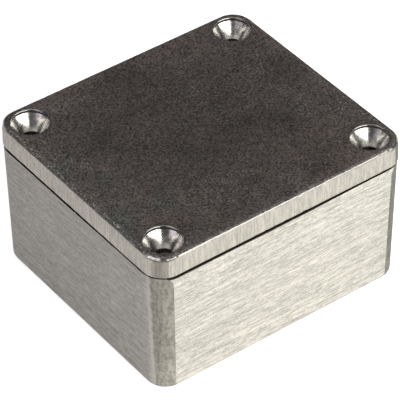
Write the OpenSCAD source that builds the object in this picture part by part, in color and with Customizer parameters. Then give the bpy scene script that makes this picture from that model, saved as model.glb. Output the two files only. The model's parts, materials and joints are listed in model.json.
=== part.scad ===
// Two-piece die cast enclosure: a deep base and a thick lid that four countersunk screws close on a
// rubber seal. Millimetres, +Z up. The origin is the centre of the underside; the long side lies along X.

/* [Box] */
// Outside length along X, at the joint line
box_l = 64; // [60:1:120]
// Outside width along Y, at the joint line
box_w = 58; // [54:1:110]
// Overall height with the lid on
box_h = 36; // [30:1:80]
// Outside radius of the base's upright corners, at the joint line
corner_r = 5.2; // [4.6:0.1:6]
// Wall thickness of the base
wall = 3.5; // [3.3:0.1:4.2]
// Floor thickness of the base
floor_t = 3; // [2.5:0.5:5]
// How far each side of the base leans in from the joint line to its foot, for casting draft
base_draft = 0.5; // [0.1:0.1:0.8]
// Radius of the edge round the underside
foot_r = 1.4; // [0.8:0.1:2]
// Radius where the inside walls meet the floor
floor_r = 1.2; // [0.4:0.1:1.3]

/* [Lid] */
// Height of the lid's side
lid_t = 5; // [4.8:0.1:8]
// Thickness of the lid over its pocket
lid_plate = 3; // [2.5:0.1:4]
// Open joint between the lid's edge and the base's rim
seam = 0.35; // [0.1:0.05:0.6]
// How far each side of the lid leans in up to its top edge
lid_draft = 0.1; // [0.02:0.02:0.2]
// Outside radius of the lid's upright corners
lid_corner_r = 4.8; // [4.4:0.1:6]
// Radius of the edge round the lid's top
lid_edge_r = 0.75; // [0.3:0.05:1]

/* [Screw holes] */
// Distance of each screw's axis from both outer sides
screw_inset = 5.65; // [5.6:0.05:6.4]
// Radius of the clearance hole through the lid
screw_hole_r = 2.1; // [1.7:0.1:2.2]
// Radius of the countersink's wall
sink_r = 4.1; // [3.6:0.1:4.3]
// Height of the straight wall at the countersink's mouth
sink_wall = 0.5; // [0.2:0.1:0.8]
// Depth of the countersink, from the lid's top to the clearance hole
sink_depth = 4.1; // [3.4:0.1:4.3]
// Radius of the polished rim at the countersink's mouth
sink_rim_r = 0.25; // [0.1:0.05:0.3]
// Radius of the tapped hole in the base, at the tapping drill
thread_r = 1.65; // [1.2:0.05:1.8]
// Depth of the tapped hole below the rim
thread_depth = 13; // [8:1:18]
// Width of the chamfer at the tapped hole's mouth
thread_chamfer = 0.4; // [0.1:0.1:0.6]

/* [Seal] */
// Width of the groove in the lid
groove_w = 2; // [1.6:0.1:2.2]
// Depth of the groove in the lid
groove_d = 2; // [1.8:0.1:2.2]
// Distance from the cavity's wall to the middle of the groove
seal_in = 1.4; // [1.2:0.1:1.6]
// Metal left between a screw's clearance hole and the groove
screw_land = 1.5; // [1.3:0.1:2]
// Width of the raised tongue on the rim
tongue_w = 1; // [0.6:0.1:1.2]
// Height of the raised tongue above the rim
tongue_h = 1; // [0.7:0.1:1.2]
// Clearance between the seal and each side of its groove
seal_gap = 0.1; // [0.05:0.01:0.15]
// Width of the lid's rib between the groove and the pocket
pocket_rib = 1.2; // [0.9:0.1:1.6]

/* [Board bosses] */
// Distance between the bosses along X
boss_x = 40; // [32:1:42]
// Distance between the bosses along Y
boss_y = 24; // [14:1:25]
// Radius of each boss at its top
boss_r = 2.6; // [2.2:0.1:3]
// How much wider each boss is at the floor
boss_draft = 0.2; // [0.1:0.1:0.4]
// Height of each boss above the floor
boss_h = 4; // [3:0.5:8]
// Radius of the tapped hole in each boss, at the tapping drill
boss_hole_r = 1.25; // [0.8:0.05:1.4]
// Depth of the tapped hole in each boss
boss_hole_depth = 5; // [3:0.5:5]

/* [Hidden] */
$fn = 64;
base_h = box_h - lid_t - seam;
lid_z = box_h - lid_t;
screw_x = box_l / 2 - screw_inset;
screw_y = box_w / 2 - screw_inset;
// The cavity bulges in round each screw, so that the seal runs inside all four of them
column_r = screw_hole_r + screw_land + groove_w / 2 + seal_in;
// The cavity's own corners end where those bulges begin
cavity_r = screw_inset - wall;
drill_point = 0.6;
cut = 1;
arc_steps = 6;

// Side outlines are lists of [lean, height]: how far the face stands in from the nominal side, and where.
// They are kept to a thousandth, so that a flat side and the round corner beside it meet exactly.
function fine(v) = round(v * 1000) / 1000;
function turn(i) = 90 * i / arc_steps;
function rounded_foot(lean, z, r) =
    [for (i = [0:arc_steps]) [fine(lean + r - r * sin(turn(i))), fine(z + r - r * cos(turn(i)))]];
function rounded_top(lean, z, r) =
    [for (i = [0:arc_steps]) [fine(lean + r - r * cos(turn(i))), fine(z - r + r * sin(turn(i)))]];

base_side = concat(rounded_foot(base_draft, 0, foot_r), [[0, base_h]]);
lid_side = concat([[0, lid_z]], rounded_top(lid_draft, box_h, lid_edge_r));
cavity_side = concat(rounded_foot(base_draft, floor_t, floor_r), [[0, base_h], [0, base_h + cut]]);

// Half of a section from a corner's axis out to a side outline; the section widens outwards by r.
module half_section(side, r, way) {
    polygon(concat([[0, side[0][1]]], [for (p = side) [r - way * p[0], p[1]]],
                   [[0, side[len(side) - 1][1]]]));
}

// A block l by w whose four sides follow one outline and whose upright corners are revolved from it.
module drafted_block(l, w, r, side) {
    low = side[0][1];
    high = side[len(side) - 1][1];
    translate([r - l / 2, r - w / 2, low]) cube([l - 2 * r, w - 2 * r, high - low]);
    for (k = [0:3]) {
        along = k % 2 == 0 ? l : w;
        across = k % 2 == 0 ? w : l;
        rotate([0, 0, 90 * k]) translate([along / 2 - r, across / 2 - r, 0]) {
            rotate([90, 0, 0]) linear_extrude(across - 2 * r) half_section(side, r, 1);
            rotate_extrude(angle = 90) half_section(side, r, 1);
        }
    }
}

module at_screws() {
    for (sx = [-1, 1], sy = [-1, 1]) translate([sx * screw_x, sy * screw_y, 0]) children();
}

module at_corners(x, y) {
    for (k = [0:3]) {
        flip = k == 0 || k == 3 ? 1 : -1;
        turn_y = k < 2 ? 1 : -1;
        translate([flip * x, turn_y * y, 0]) rotate([0, 0, 90 * k]) children();
    }
}

// The inside of the base: two crossing bars, and the curve round each screw column between them.
module cavity() {
    drafted_block(box_l - 2 * wall, 2 * (screw_y - column_r), cavity_r, cavity_side);
    drafted_block(2 * (screw_x - column_r), box_w - 2 * wall, cavity_r, cavity_side);
    reach = column_r + base_draft + floor_r;
    at_corners(screw_x, screw_y) difference() {
        translate([-reach, -reach, floor_t]) cube([reach, reach, base_h + cut - floor_t]);
        rotate_extrude() half_section(cavity_side, column_r, -1);
    }
}

module rounded_bar(l, w, r) {
    square([l - 2 * r, w], center = true);
    square([l, w - 2 * r], center = true);
    for (sx = [-1, 1], sy = [-1, 1]) translate([sx * (l / 2 - r), sy * (w / 2 - r)]) circle(r);
}

// The cavity's outline at the rim, moved outwards by out: the path of the tongue, groove and seal.
module rim_outline(out) {
    r = cavity_r + out;
    inner = column_r - out;
    rounded_bar(box_l - 2 * wall + 2 * out, 2 * (screw_y - inner), r);
    rounded_bar(2 * (screw_x - inner), box_w - 2 * wall + 2 * out, r);
    at_corners(screw_x, screw_y) difference() {
        translate([-inner, -inner]) square(inner);
        circle(inner);
    }
}

module rim_band(width) {
    difference() {
        rim_outline(seal_in + width / 2);
        rim_outline(seal_in - width / 2);
    }
}

module drilled(r, depth) {
    translate([0, 0, -depth]) cylinder(r = r, h = depth + cut);
    translate([0, 0, -depth - r * drill_point]) cylinder(r1 = 0, r2 = r, h = r * drill_point);
}

module at_bosses() {
    for (sx = [-1, 1], sy = [-1, 1]) translate([sx * boss_x / 2, sy * boss_y / 2, floor_t]) children();
}

module base() {
    color([0.74, 0.73, 0.69]) difference() {
        union() {
            difference() {
                drafted_block(box_l, box_w, corner_r, base_side);
                cavity();
            }
            translate([0, 0, base_h]) linear_extrude(tongue_h) rim_band(tongue_w);
            at_bosses() translate([0, 0, -floor_t / 2])
                cylinder(r1 = boss_r + boss_draft, r2 = boss_r, h = boss_h + floor_t / 2);
        }
        at_screws() translate([0, 0, base_h]) {
            drilled(thread_r, thread_depth);
            translate([0, 0, -thread_chamfer])
                cylinder(r1 = thread_r, r2 = thread_r + 2 * thread_chamfer, h = 2 * thread_chamfer);
        }
        at_bosses() translate([0, 0, boss_h]) drilled(boss_hole_r, boss_hole_depth);
    }
}

// Half section of one screw hole: clearance hole, cone, short wall and rounded rim.
module screw_hole() {
    rim = [for (i = [0:arc_steps])
        [fine(sink_r + sink_rim_r - sink_rim_r * cos(turn(i))),
         fine(box_h - sink_rim_r + sink_rim_r * sin(turn(i)))]];
    rotate_extrude() polygon(concat(
        [[0, lid_z - cut], [screw_hole_r, lid_z - cut], [screw_hole_r, box_h - sink_depth],
         [sink_r, box_h - sink_rim_r - sink_wall]],
        rim, [[sink_r + sink_rim_r, box_h + cut], [0, box_h + cut]]));
}

module lid() {
    color([0.42, 0.4, 0.38]) difference() {
        drafted_block(box_l, box_w, lid_corner_r, lid_side);
        translate([0, 0, lid_z - cut]) linear_extrude(cut + lid_t - lid_plate)
            rim_outline(seal_in - groove_w / 2 - pocket_rib);
        translate([0, 0, lid_z - cut]) linear_extrude(cut + groove_d) rim_band(groove_w);
        at_screws() screw_hole();
    }
}

// The seal lies in the groove and stands on the tongue.
module gasket() {
    top = lid_z + groove_d;
    bottom = base_h + tongue_h;
    color([0.12, 0.12, 0.12]) translate([0, 0, bottom]) linear_extrude(top - bottom)
        rim_band(groove_w - 2 * seal_gap);
}

base();
lid();
gasket();
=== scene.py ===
"""Looks, light and camera for the die cast box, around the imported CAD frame. Metres, +Z up."""
import json
import math

import bmesh
import bpy
from mathutils import Matrix, Vector, noise


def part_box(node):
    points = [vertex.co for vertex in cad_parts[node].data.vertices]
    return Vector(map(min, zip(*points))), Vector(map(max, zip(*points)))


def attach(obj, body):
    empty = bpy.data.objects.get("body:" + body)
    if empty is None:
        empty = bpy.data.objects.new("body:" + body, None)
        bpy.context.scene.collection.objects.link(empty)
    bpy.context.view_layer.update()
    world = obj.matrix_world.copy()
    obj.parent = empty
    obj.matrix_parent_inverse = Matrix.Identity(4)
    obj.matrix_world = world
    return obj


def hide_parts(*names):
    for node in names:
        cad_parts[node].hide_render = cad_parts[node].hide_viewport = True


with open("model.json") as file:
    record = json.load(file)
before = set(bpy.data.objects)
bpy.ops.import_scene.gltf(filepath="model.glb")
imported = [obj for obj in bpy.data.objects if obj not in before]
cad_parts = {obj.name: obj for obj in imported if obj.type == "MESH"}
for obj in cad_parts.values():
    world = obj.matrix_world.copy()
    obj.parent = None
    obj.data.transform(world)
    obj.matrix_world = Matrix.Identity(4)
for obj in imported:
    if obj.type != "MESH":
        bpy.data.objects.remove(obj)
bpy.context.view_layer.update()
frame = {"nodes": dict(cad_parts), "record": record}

# Sizes of the castings, in metres
MM = 0.001
LID_LOW, LID_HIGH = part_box("lid")
HALF_X, HALF_Y, TOP_Z = LID_HIGH
LID_Z = LID_LOW[2]
SEAM = 0.35 * MM
RIM_Z = LID_Z - SEAM
LID_CORNER_R = 4.8 * MM
LID_EDGE_R = 0.75 * MM
LID_DRAFT = 0.1 * MM
BASE_CORNER_R = 5.2 * MM
BASE_DRAFT = 0.5 * MM
FOOT_R = 1.4 * MM

# The countersinks: where they stand, their radii, and the heights where rim, wall and cone end
SCREWS = next(m for m in frame["record"]["mounts"] if m["name"] == "lid_screws")["dims"]
SCREW_X = SCREWS["spacing_x_mm"] / 2 * MM
SCREW_Y = SCREWS["spacing_y_mm"] / 2 * MM
SINK_MOUTH_R = 4.4 * MM
SINK_R = 4.1 * MM
SINK_HOLE_R = SCREWS["hole_r_mm"] * MM
SINK_RIM_Z = TOP_Z - 0.25 * MM
SINK_WALL_Z = TOP_Z - 0.75 * MM
SINK_HOLE_Z = TOP_Z - 4.1 * MM

# The same places in millimetres, for the materials
SIDE_X, SIDE_Y, TOP, JOINT, RIM = (v / MM for v in (HALF_X, HALF_Y, TOP_Z, LID_Z, RIM_Z))

# Base colours: the lid's skin and what marks it, bare sides, worn edges with painted light on their corners,
# painted shade beside the joint, and the rest
SKIN = (0.101, 0.084, 0.078)
SKIN_BROWN = (0.096, 0.083, 0.077)
SKIN_GREEN = (0.074, 0.077, 0.07)
SKIN_SPARK = (0.3, 0.285, 0.27)
SCUFF = (0.6, 0.58, 0.54)
LID_SIDE = (0.54, 0.514, 0.465)
WORN_EDGE = (0.24, 0.235, 0.22)
# The worn edge on the lid's corners: painted shade and a painted highlight
WORN_CORNER_PAINTED_SHADE = (0.12, 0.117, 0.11)
WORN_CORNER_PAINTED_HIGHLIGHT = (0.6, 0.59, 0.56)
BASE_FLAT = (0.52, 0.503, 0.464)
BASE_STRIP = (0.58, 0.555, 0.51)
BASE_CORNER = (0.289, 0.277, 0.243)
# Painted shade for the edges beside the open joint
PAINTED_JOINT_SHADE = (0.018, 0.014, 0.008)
CAST_INSIDE = (0.36, 0.348, 0.325)
TURNED = (0.52, 0.505, 0.48)
RUBBER = (0.02, 0.02, 0.021)
PINKISH = (0.997, 0.989, 0.985)
GREENISH = (0.993, 0.992, 0.98)

# Brush lines, by how many waves a millimetre holds along X, Y and Z
UPRIGHT_LINES = (3.8, 3.8, 0.1)
JOINT_LINES = (0.13, 0.13, 5.2)
CORNER_LINES = (1.6, 1.6, 0.35)

# The floor: half its length and its gap below the box, its glow near the box to the camera and to
# mirroring metal, and the distances from the origin, in millimetres, between which it rises to white
FLOOR_HALF = 30.0
FLOOR_GAP = 0.02 * MM
GLOW_TO_CAMERA = 0.72
GLOW_TO_METAL = 0.25
GLOW_NEAR, GLOW_FAR = 300, 1500

# The room's own light, where white is 1, and the heights between which the white backdrop fades out of
# what metal mirrors; the horizon is at 0 and straight up is 1
ROOM_LIGHT = 0.1
HORIZON_LOW, HORIZON_HIGH = 0.02, 0.1

# Each lamp's name, azimuth, elevation, width and height in degrees, brightness and colour
LAMPS = (
    ("key", -76, 20, 66, 34, 6.2, (0.99, 1, 0.95)),
    ("fill", -176, 14, 34, 12, 1.4, (0.95, 0.84, 1)),
    ("glint", -166, 38, 30, 14, 3.0, (0.98, 0.91, 1)),
    ("overhead", 53, 85, 50, 50, 1.2, (1, 1, 1)),
)
LAMP_DISTANCE = 0.6

# How far a point may lie from a curved or leaning face, and from a flat one, and still count as on it
SLACK = 0.01 * MM
TINY = 0.001 * MM

# Points closer together than this are one
WELD = 1e-7

# Where the turned metal of the countersinks stands among the lid's materials
TURNED_SLOT = 1


# ---------------------------------------------------------------- nodes
class Nodes:
    """Puts nodes into a tree. Every value may be a number, a colour, a vector or another node's output."""

    def __init__(self, tree):
        self.tree = tree

    def node(self, kind, inputs, **settings):
        node = self.tree.nodes.new(kind)
        for key, value in settings.items():
            setattr(node, key, value)
        for key, value in inputs.items():
            self.set(node.inputs[key], value)
        return node

    def set(self, socket, value):
        if isinstance(value, bpy.types.NodeSocket):
            self.tree.links.new(value, socket)
        else:
            socket.default_value = value

    def vector(self, operation, a, b=(0, 0, 0)):
        return self.node("ShaderNodeVectorMath", {0: a, 1: b}, operation=operation).outputs[0]

    def length(self, vector):
        return self.node("ShaderNodeVectorMath", {0: vector}, operation="LENGTH").outputs["Value"]

    def math(self, operation, a, b=0.0, c=0.0):
        return self.node("ShaderNodeMath", {0: a, 1: b, 2: c}, operation=operation).outputs[0]

    def rise(self, value, low, high):
        """Goes smoothly from 0 at low to 1 at high."""
        inputs = {"Value": value, "From Min": low, "From Max": high}
        return self.node("ShaderNodeMapRange", inputs, interpolation_type="SMOOTHSTEP").outputs[0]

    def mix_value(self, factor, a, b):
        """Blends two numbers, from a at 0 to b at 1."""
        return self.math("MULTIPLY_ADD", factor, self.math("SUBTRACT", b, a), a)

    def mix(self, factor, a, b):
        """Blends two colours, from a at 0 to b at 1."""
        node = self.node("ShaderNodeMix", {}, data_type="RGBA")
        sockets = {s.identifier: s for s in node.inputs}
        for name, value in (("Factor_Float", factor), ("A_Color", a), ("B_Color", b)):
            self.set(sockets[name], (*value, 1) if isinstance(value, tuple) else value)
        return next(s for s in node.outputs if s.identifier == "Result_Color")

    def tone(self, color, amount):
        """A colour or vector times a number."""
        inputs = {0: color, "Scale": amount}
        return self.node("ShaderNodeVectorMath", inputs, operation="SCALE").outputs[0]

    def swing(self, value, share):
        """Turns noise from 0 to 1 into a factor that swings round 1 by about the share."""
        return self.math("MULTIPLY_ADD", value, 2 * share, 1 - share)

    def rays(self):
        """1 on what the camera sees, and 1 on what metal mirrors or glass lets through."""
        paths = self.node("ShaderNodeLightPath", {}).outputs
        mirrored = self.math("MAXIMUM", paths["Is Glossy Ray"], paths["Is Transmission Ray"])
        return paths["Is Camera Ray"], mirrored


# ---------------------------------------------------------------- camera
def add_camera():
    """A long lens, looking down on the corner between the -X and -Y sides."""
    azimuth, elevation, roll = (math.radians(v) for v in (-36.4, 40.3, -0.67))
    distance = 589.3 * MM
    target = Vector((-0.07, -0.05, 17.0)) * MM
    back = Vector((math.sin(azimuth) * math.cos(elevation), -math.cos(azimuth) * math.cos(elevation),
                   math.sin(elevation)))
    right = Vector((math.cos(azimuth), math.sin(azimuth), 0))
    up = back.cross(right)
    rolled_right = math.cos(roll) * right + math.sin(roll) * up
    rolled_up = -math.sin(roll) * right + math.cos(roll) * up
    data = bpy.data.cameras.new("camera")
    data.sensor_fit = "HORIZONTAL"
    data.sensor_width = 36
    data.lens = 251.46
    data.clip_start = 0.01
    camera = bpy.data.objects.new("camera", data)
    camera.matrix_world = Matrix.Translation(target + distance * back) @ Matrix(
        (rolled_right, rolled_up, back)).transposed().to_4x4()
    bpy.context.scene.collection.objects.link(camera)
    bpy.context.scene.camera = camera


# ---------------------------------------------------------------- light
def add_softbox(name, azimuth, elevation, width, height, brightness, color):
    """A lamp facing the box, placed and sized by the degrees it spans; brightness 1 is white."""
    data = bpy.data.lights.new(name, "AREA")
    data.shape = "RECTANGLE"
    data.size = 2 * LAMP_DISTANCE * math.tan(math.radians(width / 2))
    data.size_y = 2 * LAMP_DISTANCE * math.tan(math.radians(height / 2))
    data.energy = brightness * math.pi * data.size * data.size_y
    data.color = color
    lamp = bpy.data.objects.new(name, data)
    turn, tilt = math.radians(azimuth), math.radians(elevation)
    direction = Vector((math.cos(turn) * math.cos(tilt), math.sin(turn) * math.cos(tilt), math.sin(tilt)))
    lamp.location = Vector((0, 0, TOP_Z / 2)) + direction * LAMP_DISTANCE
    lamp.rotation_euler = direction.to_track_quat("Z", "Y").to_euler()
    bpy.context.scene.collection.objects.link(lamp)


def add_world():
    """A dim room, whose backdrop is white to the camera and, low over the horizon, to metal and glass."""
    world = bpy.data.worlds.new("studio")
    world.use_nodes = True
    n = Nodes(world.node_tree)
    background = n.tree.nodes["Background"]
    direction = n.node("ShaderNodeTexCoord", {}).outputs["Generated"]
    height = n.node("ShaderNodeSeparateXYZ", {"Vector": direction}).outputs["Z"]
    seen, mirrored = n.rays()
    low = n.rise(height, HORIZON_HIGH, HORIZON_LOW)
    backdrop = n.math("MAXIMUM", seen, n.math("MULTIPLY", mirrored, low))
    n.set(background.inputs["Color"], (1, 1, 1, 1))
    n.set(background.inputs["Strength"], n.math("MAXIMUM", backdrop, ROOM_LIGHT))
    bpy.context.scene.world = world


# ---------------------------------------------------------------- materials
class Finish(Nodes):
    """A node material under construction. Places inside it are millimetres from the part's origin."""

    def __init__(self, name):
        self.material = bpy.data.materials.new(name)
        self.material.use_nodes = True
        super().__init__(self.material.node_tree)
        self.shader = self.tree.nodes["Principled BSDF"]
        place = self.node("ShaderNodeTexCoord", {}).outputs["Object"]
        self.place = self.tone(place, 1 / MM)
        self.x, self.y, self.z = self.node("ShaderNodeSeparateXYZ", {"Vector": self.place}).outputs

    def noise(self, fineness, detail=2.0, roughness=0.5, seed=0.0, place=None):
        """Noise from 0 to 1; fineness is how many waves a millimetre holds, along each axis or along all."""
        if not isinstance(fineness, tuple):
            fineness = (fineness, fineness, fineness)
        scaled = self.vector("MULTIPLY", place or self.place, fineness)
        moved = self.vector("ADD", scaled, (seed * 7.3, seed * 3.1, seed * 5.7))
        inputs = {"Vector": moved, "Scale": 1.0, "Detail": detail, "Roughness": roughness}
        return self.node("ShaderNodeTexNoise", inputs).outputs[0]

    def inward(self, corner_r):
        """How far a place lies in from the outline of the sides, up to the corners' radius."""
        any_height = 1000
        core = ((HALF_X - corner_r) / MM, (HALF_Y - corner_r) / MM, any_height)
        beyond = self.vector("SUBTRACT", self.vector("ABSOLUTE", self.place), core)
        reach = self.length(self.vector("MAXIMUM", beyond, (0, 0, 0)))
        return self.math("SUBTRACT", corner_r / MM, reach)

    def skew(self):
        """How much nearer a place is to the X side than to the Y side."""
        across = self.math("SUBTRACT", SIDE_Y, self.math("ABSOLUTE", self.y))
        along = self.math("SUBTRACT", SIDE_X, self.math("ABSOLUTE", self.x))
        return self.math("SUBTRACT", across, along)

    def near_side(self, mask):
        """Keeps a mask to within half a millimetre of the sides."""
        return self.math("MULTIPLY", mask, self.rise(self.inward(LID_CORNER_R), 0.6, 0.4))

    def side(self, value, side):
        """1 on the flat of the two sides that lie this far out along an axis."""
        return self.rise(self.math("ABSOLUTE", value), side - 0.8, side - 0.4)

    def left_side(self):
        """1 along the lid's -X edge, which is scuffed, and less on its corners."""
        side = self.rise(self.x, 2 - SIDE_X, 1 - SIDE_X)
        return self.math("MULTIPLY", side, self.math("MULTIPLY_ADD", self.rounded(), -0.8, 1.0))

    def rounded(self):
        """1 on the four rounded corners."""
        round_x = self.rise(self.math("ABSOLUTE", self.x), SIDE_X - 5, SIDE_X - 4)
        round_y = self.rise(self.math("ABSOLUTE", self.y), SIDE_Y - 5, SIDE_Y - 4)
        return self.math("MULTIPLY", round_x, round_y)

    def corner_zone(self, towards_y, towards_x, waver, softness):
        """1 on the outside of the rounded corners, as far as it reaches towards the sides across Y and X.
        It ends sharply across Y. Across X it wavers and fades out over the softness."""
        swerve = self.math("SUBTRACT", self.noise((0.3, 0.3, 0.8), detail=3, seed=17), 0.5)
        past_x = self.math("MULTIPLY_ADD", swerve, waver, self.math("SUBTRACT", self.skew(), towards_x))
        past_y = self.math("MULTIPLY_ADD", swerve, 0.25, self.skew())
        end_y = self.rise(self.math("ADD", past_y, towards_y), 0.0, 0.1)
        end_x = self.rise(past_x, softness / 2, -softness / 2)
        outside = self.rise(self.inward(BASE_CORNER_R), 2.0, 1.6)
        return self.math("MULTIPLY", self.math("MULTIPLY", end_y, end_x), outside)

    def tilted(self, slope):
        """Places whose height drifts by the slope along each side, for lines that run at a slant."""
        drift = self.math("MULTIPLY", self.math("ADD", self.x, self.y), slope)
        return self.vector("ADD", self.place, self.node("ShaderNodeCombineXYZ", {"Z": drift}).outputs[0])

    def finish(self, color, roughness, height, depth, metallic):
        """Sets the surface; height is 0 to 1 and depth is what 1 stands for, in millimetres."""
        bump = self.node("ShaderNodeBump", {"Height": height, "Distance": depth * MM})
        self.set(self.shader.inputs["Base Color"], color)
        self.set(self.shader.inputs["Roughness"], roughness)
        self.set(self.shader.inputs["Normal"], bump.outputs[0])
        self.set(self.shader.inputs["Metallic"], metallic)
        return self.material


def skin_stains(f, color):
    """Tints the cast skin in soft patches, brownish all over and greenish towards the -X side."""
    patches = f.math("MULTIPLY", f.noise(0.07, detail=2, seed=9), 0.6)
    tint = f.math("MULTIPLY_ADD", f.noise(0.8, detail=2, seed=4), 0.4, patches)
    color = f.mix(f.rise(tint, 0.38, 0.62), color, SKIN_BROWN)
    stained = f.rise(f.noise(0.13, detail=2, seed=12), 0.46, 0.68)
    stained = f.math("MULTIPLY", stained, f.rise(f.x, 22 - SIDE_X, 6 - SIDE_X))
    return f.mix(stained, color, SKIN_GREEN)


def skin_sparks(f, color):
    """Scatters tiny bright grains over the cast skin, more of them where it was struck."""
    dust = f.rise(f.noise(2.0, detail=2, roughness=0.7, seed=6), 0.58, 0.64)
    struck = f.rise(f.noise(0.1, detail=3, roughness=0.6, seed=7), 0.52, 0.62)
    sparks = f.math("MULTIPLY", dust, f.math("MULTIPLY_ADD", struck, 0.7, 0.1))
    return f.mix(sparks, color, SKIN_SPARK)


def cast_skin(f):
    """Dark as-cast skin: cloudy, finely speckled, greener towards -X and paler towards the edges."""
    clouds = f.noise(0.06, detail=2, seed=1)
    blotches = f.noise(0.5, detail=3, seed=2)
    speckle = f.noise(2.2, detail=3, roughness=0.7, seed=3)
    color = skin_stains(f, SKIN)
    for value, share in ((clouds, 0.5), (blotches, 0.35), (speckle, 2.5)):
        color = f.tone(color, f.swing(value, share))
    color = skin_sparks(f, color)
    near_edge = f.rise(f.inward(LID_CORNER_R), 4, 0.5)
    color = f.tone(color, f.math("MULTIPLY_ADD", near_edge, 0.15, 1.0))
    off_middle = f.rise(f.length(f.vector("MULTIPLY", f.place, (1, 1, 0))), 4, 32)
    color = f.tone(color, f.math("MULTIPLY_ADD", off_middle, 0.28, 0.86))
    height = f.math("MULTIPLY_ADD", blotches, 0.5, speckle)
    roughness = f.math("MULTIPLY_ADD", speckle, 0.2, 0.38)
    return color, roughness, height


def cast_grey(f):
    """Plain as-cast metal, evenly mottled, where nothing was linished."""
    clouds = f.noise(0.12, detail=3, seed=41)
    speckle = f.noise(1.6, detail=3, roughness=0.7, seed=42)
    color = f.tone(CAST_INSIDE, f.math("MULTIPLY", f.swing(clouds, 0.5), f.swing(speckle, 0.5)))
    return color, f.math("MULTIPLY_ADD", speckle, 0.2, 0.45), speckle


def brushed(f, color, fineness, seed, contrast):
    """Bare metal with fine straight lines along the direction in which the fineness is low."""
    long_lines = f.noise(fineness, detail=1, seed=seed, place=f.tilted(0.01))
    short = tuple(v * 4 if v < 1 else v * 0.8 for v in fineness)
    short_lines = f.noise(short, detail=1, seed=seed + 1, place=f.tilted(-0.02))
    lines = f.mix_value(0.5, long_lines, short_lines)
    grain = f.noise(2.8, detail=2, roughness=0.6, seed=seed + 4)
    lines = f.rise(f.mix_value(0.3, lines, grain), 0.37, 0.63)
    broad = tuple(v / 4 for v in fineness)
    bands = f.noise(broad, detail=2, seed=seed + 2, place=f.tilted(0.01))
    shade = f.math("MULTIPLY", f.swing(lines, contrast), f.swing(bands, 0.13))
    tint = f.rise(f.noise(0.07, detail=3, seed=seed + 3), 0.35, 0.65)
    hue = f.mix(tint, PINKISH, GREENISH)
    roughness = f.math("MULTIPLY_ADD", lines, 0.15, 0.6)
    return f.tone(f.vector("MULTIPLY", color, hue), shade), roughness, lines


def lid_side(f):
    """Upright-brushed metal round the lid's side, with a worn bright top edge. Painted light and shade make
    the
    X sides lighter and the Y sides darker, and painted shade darkens the corners, most towards +X. On the
    corners the top edge carries a painted highlight on its half towards X and painted shade on its half
    towards Y, and a painted dark reflection runs as a darker line under that edge."""
    color, rough, height = brushed(f, LID_SIDE, UPRIGHT_LINES, seed=5, contrast=0.2)
    # Painted light and shade: the X sides lighter, the Y sides darker
    painted_side_light_and_shade = f.math("MULTIPLY_ADD", f.side(f.y, SIDE_Y), -0.31, 1.12)
    # Painted shade on the corners, deepest towards +X
    painted_corner_shade = f.mix_value(f.rise(f.x, 0, SIDE_X), 0.55, 0.3)
    corner = f.corner_zone(towards_y=2.7, towards_x=2.0, waver=0.6, softness=3)
    color = f.tone(color, f.mix_value(corner, painted_side_light_and_shade, painted_corner_shade))
    worn = f.rise(f.z, TOP - 0.72, TOP - 0.45)
    # Painted light on the worn edge's corners: a painted highlight on the half towards X, painted shade on
    # the half towards Y
    worn_corner_painted_light = f.mix(f.rise(f.skew(), -0.9, 0.1), WORN_CORNER_PAINTED_SHADE, WORN_CORNER_PAINTED_HIGHLIGHT)
    color = f.mix(worn, color, f.mix(f.rounded(), WORN_EDGE, worn_corner_painted_light))
    # A painted dark reflection: a darker line under the top edge on the corners
    under = f.math("MULTIPLY", f.rise(f.z, TOP - 0.95, TOP - 0.8), f.rise(f.z, TOP - 0.5, TOP - 0.6))
    under = f.math("MULTIPLY", f.rounded(), under)
    color = f.tone(color, f.math("MULTIPLY_ADD", under, -0.5, 1.0))
    return color, f.mix_value(worn, rough, 0.14), f.mix_value(worn, height, 0.5)


def scuffed_skin(f):
    """The cast skin with bright flecks of bare metal along the edges, most on the -X side."""
    color, rough, height = cast_skin(f)
    flecks = f.rise(f.noise(2.2, detail=2, roughness=0.7, seed=10), 0.55, 0.62)
    flecks = f.math("MULTIPLY", flecks, f.rise(f.inward(LID_CORNER_R), 1.7, 0.5))
    flecks = f.math("MULTIPLY", flecks, f.math("MULTIPLY_ADD", f.left_side(), 0.85, 0.15))
    return f.mix(flecks, color, SCUFF), rough, height


def skin_cover(f):
    """1 where the lid keeps its skin. It ends near the top of the edge, and raggedly on the -X side."""
    scuffed = f.left_side()
    waver = f.math("SUBTRACT", f.noise(1.3, detail=3, roughness=0.6, seed=8), 0.5)
    ragged = f.math("MULTIPLY_ADD", scuffed, 1.2, 0.06)
    inward = f.math("MULTIPLY_ADD", waver, ragged, f.inward(LID_CORNER_R))
    inward = f.math("MULTIPLY_ADD", f.rounded(), -0.22, inward)
    return f.rise(inward, f.mix_value(scuffed, 0.25, 0.16), f.mix_value(scuffed, 0.33, 0.77))


def lid_finish():
    """Cast skin on the flat, bare upright-brushed metal round the side, and a worn line between them with
    painted light on its corners.
    """
    f = Finish("lid_finish")
    skin = skin_cover(f)
    side_color, side_rough, side_height = lid_side(f)
    skin_color, skin_rough, skin_height = scuffed_skin(f)
    color = f.mix(skin, side_color, skin_color)
    # Painted shade along the lid's lower edge, beside the open joint
    color = f.mix(f.near_side(f.rise(f.z, JOINT + 0.08, JOINT + 0.02)), color, PAINTED_JOINT_SHADE)
    rough = f.mix_value(skin, side_rough, skin_rough)
    height = f.mix_value(skin, side_height, skin_height)
    return f.finish(color, rough, height, depth=0.02, metallic=0.6)


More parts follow.
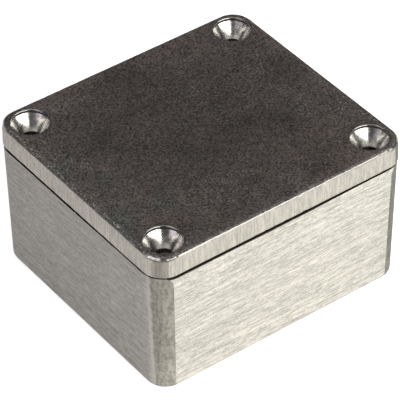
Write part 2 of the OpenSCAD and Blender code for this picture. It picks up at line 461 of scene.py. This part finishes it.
def base_flats(f, towards_y):
    """Linished flats with long lines along the joint, darkened on the X sides by painted shade, and paler in
    a strip beside each corner.
    """
    color, rough, height = brushed(f, BASE_FLAT, JOINT_LINES, seed=11, contrast=0.32)
    # Painted shade: the X sides darker
    color = f.tone(color, f.math("MULTIPLY_ADD", f.side(f.x, SIDE_X), -0.135, 1.0))
    towards_x = f.math("MULTIPLY_ADD", f.z, 0.04, 2.8)
    strip = f.corner_zone(towards_y, towards_x, waver=0.8, softness=1.2)
    return f.mix(f.math("MULTIPLY", strip, 0.7), color, BASE_STRIP), rough, height


def base_corners(f):
    """Dull corners with an upright grain, darkened towards +X by painted shade, and paler near the foot."""
    color, rough, height = brushed(f, BASE_CORNER, CORNER_LINES, seed=14, contrast=0.3)
    # Painted shade: darker towards +X
    color = f.tone(color, f.math("MULTIPLY_ADD", f.rise(f.x, 0, SIDE_X), -0.4, 1.0))
    return f.mix(f.rise(f.z, 10, 4), color, f.tone(color, 1.25)), rough, height


def painted_rim_shade(f):
    """1 along the base's rim, where painted shade darkens the open joint: a line whose width changes along
    the sides.
    """
    gape_y = f.math("MULTIPLY", f.side(f.y, SIDE_Y), f.mix_value(f.rise(f.x, 4, 24), 0.38, 0.1))
    gape_x = f.math("MULTIPLY", f.side(f.x, SIDE_X), f.mix_value(f.rise(f.y, -20, 0), 0.0, 0.25))
    low = f.math("SUBTRACT", RIM - 0.1, f.math("MAXIMUM", gape_y, gape_x))
    return f.near_side(f.rise(f.z, low, f.math("ADD", low, 0.08)))


def base_finish():
    """Linished flats, dull corners, a painted shade line along the joint, and plain cast metal inside."""
    f = Finish("base_finish")
    towards_y = f.mix_value(f.rise(f.z, RIM - 2, RIM), 3.95, 3.1)
    towards_x = f.math("MULTIPLY_ADD", f.z, 0.04, 1.8)
    corner = f.corner_zone(towards_y, towards_x, waver=1.4, softness=1.1)
    cast = f.rise(f.inward(BASE_CORNER_R), 1.5, 2.1)
    flat_color, flat_rough, flat_height = base_flats(f, towards_y)
    corner_color, corner_rough, corner_height = base_corners(f)
    cast_color, cast_rough, cast_height = cast_grey(f)
    color = f.mix(painted_rim_shade(f), f.mix(corner, flat_color, corner_color), PAINTED_JOINT_SHADE)
    color = f.mix(cast, color, cast_color)
    rough = f.mix_value(cast, f.mix_value(corner, flat_rough, corner_rough), cast_rough)
    height = f.mix_value(cast, f.mix_value(corner, flat_height, corner_height), cast_height)
    return f.finish(color, rough, height, depth=0.02, metallic=0.6)


def machined_finish():
    """Bright turned metal in the countersinks, with faint rings and stains."""
    f = Finish("machined_finish")
    rings = f.noise((0.3, 0.3, 6), detail=2, roughness=0.6, seed=21)
    stains = f.noise(0.6, detail=3, roughness=0.6, seed=22)
    rim = f.math("MULTIPLY_ADD", f.rise(f.z, SINK_RIM_Z / MM, TOP - 0.1), -0.5, 1.0)
    marks = f.math("MULTIPLY", f.swing(stains, 0.7), f.swing(rings, 0.5))
    color = f.tone(TURNED, f.math("MULTIPLY", marks, rim))
    rough = f.math("MULTIPLY_ADD", stains, 0.16, 0.14)
    return f.finish(color, rough, rings, depth=0.0006, metallic=1.0)


def rubber_finish():
    """Matt black rubber with a fine grain."""
    f = Finish("rubber_finish")
    grain = f.noise(4, detail=3, seed=31)
    color = f.tone(RUBBER, f.swing(grain, 0.3))
    rough = f.math("MULTIPLY_ADD", grain, 0.2, 0.6)
    return f.finish(color, rough, grain, depth=0.02, metallic=0.0)


# ---------------------------------------------------------------- floor
def add_floor():
    """A pale floor: white where the camera or the metal sees it, and shaded round the box."""
    mesh = bpy.data.meshes.new("floor")
    r = FLOOR_HALF
    low = -FLOOR_GAP
    mesh.from_pydata([(-r, -r, low), (r, -r, low), (r, r, low), (-r, r, low)], [], [(0, 1, 2, 3)])
    floor = bpy.data.objects.new("floor", mesh)
    bpy.context.scene.collection.objects.link(floor)
    f = Finish("floor")
    f.tree.nodes.remove(f.shader)
    seen, mirrored = f.rays()
    near = f.math("MULTIPLY", mirrored, GLOW_TO_METAL)
    near = f.math("MULTIPLY_ADD", seen, GLOW_TO_CAMERA, near)
    far = f.math("MAXIMUM", seen, mirrored)
    strength = f.mix_value(f.rise(f.length(f.place), GLOW_NEAR, GLOW_FAR), near, far)
    glow = f.node("ShaderNodeEmission", {"Strength": strength})
    pale = f.node("ShaderNodeBsdfDiffuse", {"Color": (0.8, 0.8, 0.8, 1)})
    both = f.node("ShaderNodeAddShader", {0: pale.outputs[0], 1: glow.outputs[0]})
    f.set(f.tree.nodes["Material Output"].inputs["Surface"], both.outputs[0])
    mesh.materials.append(f.material)


# ---------------------------------------------------------------- castings
def inward(place, corner_r):
    """How far a place lies in from the outline of the sides, up to the corners' radius."""
    beyond_x = max(abs(place.x) - (HALF_X - corner_r), 0)
    beyond_y = max(abs(place.y) - (HALF_Y - corner_r), 0)
    return corner_r - math.hypot(beyond_x, beyond_y)


def faces_where(form, test):
    """The faces whose every corner passes the test."""
    return [f for f in form.faces if all(test(v.co) for v in f.verts)]


def slice_faces(form, faces, axis, places):
    """Cuts these faces, and no others, by planes across an axis."""
    normal = Vector([1 if k == axis else 0 for k in range(3)])
    geom = list({v for f in faces for v in f.verts}) + list({e for f in faces for e in f.edges}) + faces
    for place in places:
        cut = bmesh.ops.bisect_plane(form, geom=geom, dist=WELD, plane_co=normal * place, plane_no=normal)
        geom = cut["geom"]


def steps(half, step):
    """Places a step apart, from the middle out to both sides."""
    count = int(half / step)
    return [k * step for k in range(-count, count + 1)]


def slice_band(form, test, step):
    """Cuts the faces of a band round the box into short lengths."""
    slice_faces(form, faces_where(form, test), 0, steps(HALF_X, step))
    slice_faces(form, faces_where(form, test), 1, steps(HALF_Y, step))


def fade(value, full, none):
    """Goes from 1 at full to 0 at none."""
    return min(max((value - none) / (full - none), 0), 1)


def wear(place, depth, nick):
    """How deep an edge is worn at a place: an uneven rounding and, here and there, a nick."""
    spot = place / MM
    uneven = 0.5 + 0.5 * noise.noise(spot * 0.8)
    struck = max(noise.noise(spot * 1.7 + Vector((9, 4, 2))) - 0.25, 0)
    return depth * uneven + nick * struck


def copy_of(node, name):
    """A closed copy of a CAD piece, to be refined and shown in its place."""
    mesh = bpy.data.meshes.new(name)
    piece = bpy.data.objects.new(name, mesh)
    bpy.context.scene.collection.objects.link(piece)
    form = bmesh.new()
    form.from_mesh(frame["nodes"][node].data)
    bmesh.ops.remove_doubles(form, verts=form.verts, dist=WELD)
    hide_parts(node)
    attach(piece, "root")
    return piece, form


def write_form(piece, form, sharp=30):
    """Writes the refined form, shaded smooth up to edges that turn by more than sharp, in degrees."""
    bmesh.ops.recalc_face_normals(form, faces=form.faces)
    form.to_mesh(piece.data)
    form.free()
    for polygon in piece.data.polygons:
        polygon.use_smooth = True
    piece.data.set_sharp_from_angle(angle=math.radians(sharp))
    even = piece.modifiers.new("even_normals", "WEIGHTED_NORMAL")
    even.keep_sharp = True
    shaded = piece.evaluated_get(bpy.context.evaluated_depsgraph_get())
    piece.data = bpy.data.meshes.new_from_object(shaded)
    piece.modifiers.clear()


def sink_normal(centre, place):
    """The normal of a true turned countersink, for a corner of the face with this centre."""
    axis = Vector((math.copysign(SCREW_X, centre.x), math.copysign(SCREW_Y, centre.y)))
    outward = place.xy - axis
    if centre.z > SINK_RIM_Z:
        lean = (place.z - SINK_RIM_Z) / (TOP_Z - SINK_RIM_Z)
        across, up = -math.sqrt(max(1 - lean * lean, 0)), lean
    elif centre.z > SINK_WALL_Z or centre.z < SINK_HOLE_Z:
        across, up = -1, 0
    else:
        across, up = SINK_HOLE_Z - SINK_WALL_Z, SINK_R - SINK_HOLE_R
    outward = outward.normalized() * across
    return Vector((outward.x, outward.y, up)).normalized()


def round_sinks(mesh):
    """Gives the countersinks the normals of true turned faces."""
    normals = [Vector(n.vector) for n in mesh.corner_normals]
    for polygon in mesh.polygons:
        if polygon.material_index == TURNED_SLOT:
            for corner in polygon.loop_indices:
                place = mesh.vertices[mesh.loops[corner].vertex_index].co
                normals[corner] = sink_normal(polygon.center, place)
    mesh.normals_split_custom_set(normals)


def wear_edge(form, test, corner_r, weight, depth, nick):
    """Moves the points that pass the test into the piece, by their weight from 0 to 1 times the wear."""
    form.normal_update()
    for vert in form.verts:
        if test(vert.co):
            share = weight(vert.co, inward(vert.co, corner_r))
            if share > 0:
                vert.co -= vert.normal * share * wear(vert.co, depth(vert.co), nick)


def is_sink(face):
    """Is a face part of a countersink: its cone, short wall or rim?"""
    centre = face.calc_center_median()
    reach = math.hypot(abs(centre.x) - SCREW_X, abs(centre.y) - SCREW_Y)
    return reach < SINK_MOUTH_R and LID_Z + SLACK < centre.z < TOP_Z - TINY


def add_lid():
    """The lid with its scuffed edge, in cast skin and brushed metal, and in turned metal in its holes."""
    piece, form = copy_of("lid", "lid_casting")
    piece.data.materials.append(lid_finish())
    piece.data.materials.append(machined_finish())
    for face in form.faces:
        face.material_index = TURNED_SLOT if is_sink(face) else 0
    wear_lid(form)
    write_form(piece, form, sharp=25)
    round_sinks(piece.data)


def wear_lid(form):
    """Scuffs the edge round the lid's top, most on the -X side, and nicks its lower edge."""
    flat_strip = 1.6 * MM
    edge_strip = 0.9 * MM
    low_strip = 0.5 * MM
    on_top = faces_where(form, lambda p: p.z > TOP_Z - TINY)
    slice_faces(form, on_top, 0, (flat_strip - HALF_X, HALF_X - flat_strip))
    on_top = faces_where(form, lambda p: p.z > TOP_Z - TINY)
    slice_faces(form, on_top, 1, (flat_strip - HALF_Y, HALF_Y - flat_strip))

    def on_side(p):
        return inward(p, LID_CORNER_R) < LID_DRAFT + SLACK and p.z < TOP_Z - LID_EDGE_R + SLACK
    slice_faces(form, faces_where(form, on_side), 2, (LID_Z + low_strip, LID_Z + low_strip / 2))

    def near_top(p):
        far_in = abs(p.x) < HALF_X - flat_strip - TINY and abs(p.y) < HALF_Y - flat_strip - TINY
        return p.z > TOP_Z - LID_EDGE_R - SLACK and not far_in

    def near_joint(p):
        return on_side(p) and p.z < LID_Z + low_strip + TINY
    slice_band(form, near_top, 0.5 * MM)
    slice_band(form, near_joint, 0.5 * MM)

    def top_depth(p):
        return 0.16 * MM if p.x < 1.5 * MM - HALF_X else 0.04 * MM
    wear_edge(form, near_top, LID_CORNER_R,
              weight=lambda p, reach: fade(reach, edge_strip / 2, edge_strip),
              depth=top_depth, nick=0.15 * MM)
    wear_edge(form, near_joint, LID_CORNER_R,
              weight=lambda p, reach: fade(p.z, LID_Z, LID_Z + low_strip),
              depth=lambda p: 0.05 * MM, nick=0.3 * MM)


def add_base():
    """The base with its nicked rim."""
    piece, form = copy_of("base", "base_casting")
    piece.data.materials.append(base_finish())
    wear_base(form)
    write_form(piece, form)


def wear_base(form):
    """Nicks the outer edge of the rim."""
    strip = 0.6 * MM

    def on_side(p):
        return inward(p, BASE_CORNER_R) < BASE_DRAFT + SLACK and p.z > FOOT_R - SLACK
    slice_faces(form, faces_where(form, on_side), 2, (RIM_Z - strip, RIM_Z - strip / 2))

    def near_rim(p):
        return on_side(p) and p.z > RIM_Z - strip - TINY
    slice_band(form, near_rim, 0.5 * MM)
    wear_edge(form, near_rim, BASE_CORNER_R,
              weight=lambda p, reach: fade(p.z, RIM_Z, RIM_Z - strip),
              depth=lambda p: 0.08 * MM, nick=0.5 * MM)


def dress_gasket():
    """Gives the seal its rubber; its CAD shape stays."""
    seal = frame["nodes"]["gasket"]
    seal.data.materials.clear()
    seal.data.materials.append(rubber_finish())


add_camera()
add_world()
for lamp in LAMPS:
    add_softbox(*lamp)
add_floor()
add_lid()
add_base()
dress_gasket()

bpy.context.scene.view_settings.view_transform = "Standard"
